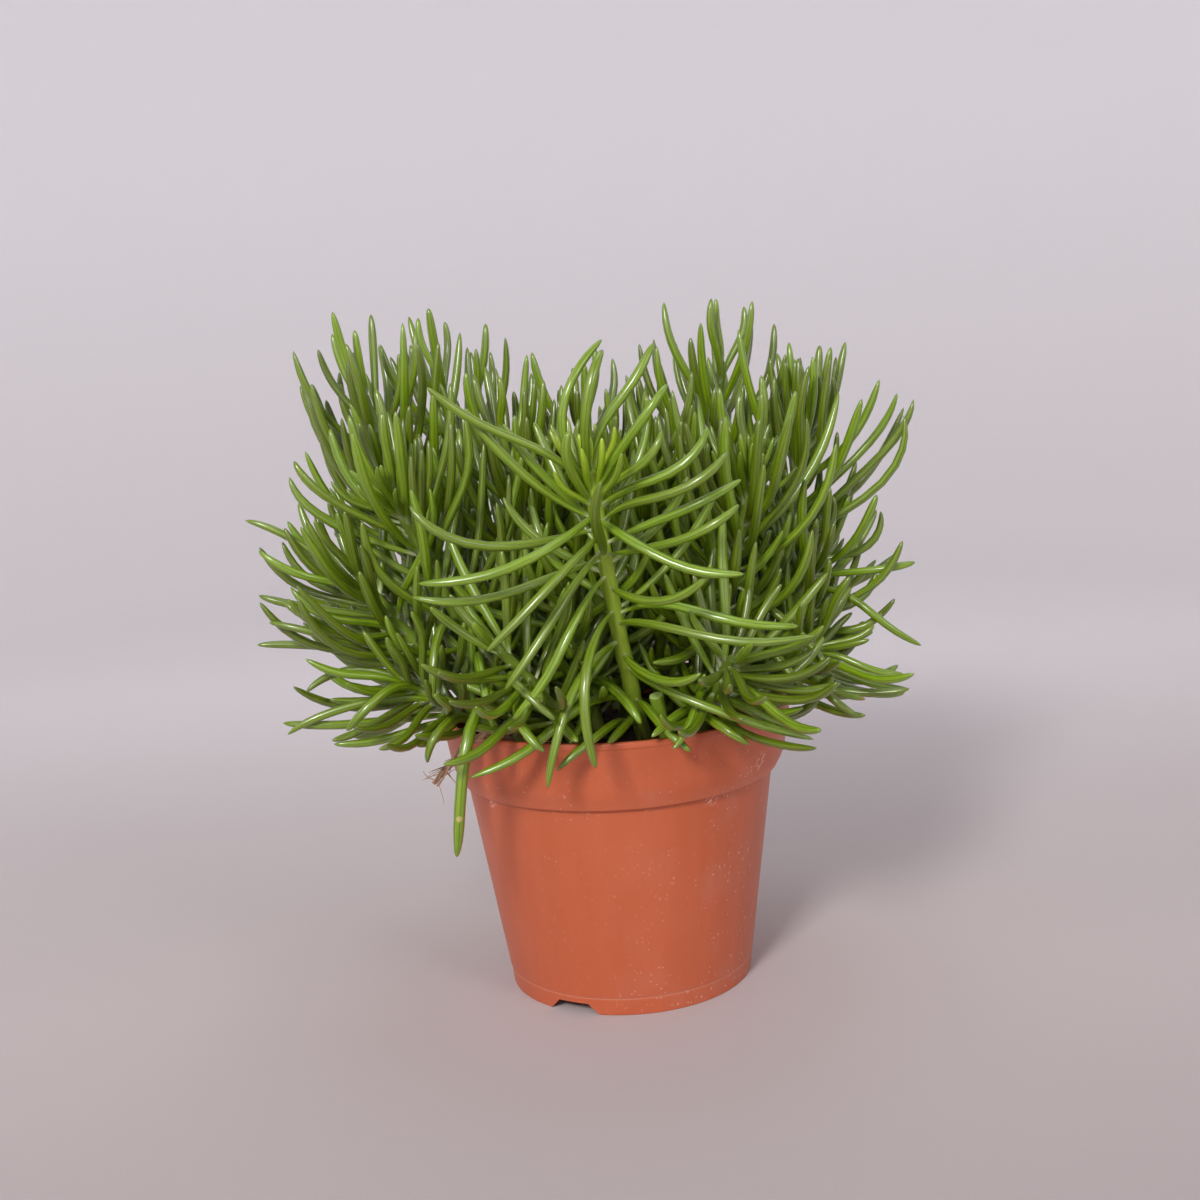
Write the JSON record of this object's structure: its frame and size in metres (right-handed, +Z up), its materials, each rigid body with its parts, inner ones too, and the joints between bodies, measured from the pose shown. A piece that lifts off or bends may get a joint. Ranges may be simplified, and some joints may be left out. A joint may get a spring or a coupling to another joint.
{
  "type": "potted himalaya senecio",
  "caption": "Bushy succulent with slender finger leaves on upright stems, growing in a tapered round nursery pot filled with soil.",
  "frame": {"origin": "middle of the whole plant's footprint, on the surface that the pot stands on", "axes": "+Z up along the pot, -Y towards the side where the tallest front stem leans out, +X to the right as seen from that side"},
  "size_m": [0.2216, 0.2226, 0.2339],
  "materials": {
    "leaf": "satin",
    "cut_stem": "matte",
    "terracotta_plastic": "satin",
    "potting_soil": "matte",
    "dry_root": "matte"
  },
  "bodies": {
    "root": {"pot": "terracotta_plastic", "soil": "potting_soil", "dry_roots": "dry_root", "cut_stub_front": "cut_stem", "cut_stub_right": "cut_stem", "cut_stub_back": "cut_stem", "leafy_stem_front_tall": "leaf", "leafy_stem_left_crown": "leaf", "leafy_stem_right_crown": "leaf", "leafy_stem_left_reach": "leaf", "leafy_stem_right_reach": "leaf", "leafy_stem_front_left": "leaf", "leafy_stem_front_right": "leaf", "leafy_stem_left_low": "leaf", "leafy_stem_right_low": "leaf", "leafy_stem_right_back_crown": "leaf", "leafy_stem_back_right_crown": "leaf", "leafy_stem_centre": "leaf", "leafy_stem_centre_left": "leaf", "leafy_stem_left_back_crown": "leaf", "leafy_stem_back_left_crown": "leaf", "leafy_stem_back_right": "leaf", "leafy_stem_back_tall": "leaf", "leafy_stem_back_low": "leaf", "leafy_stem_left_back_low": "leaf", "leafy_stem_right_back_low": "leaf", "leafy_stem_front_inner": "leaf", "leafy_stem_right_inner": "leaf"}
  },
  "joints": []
}
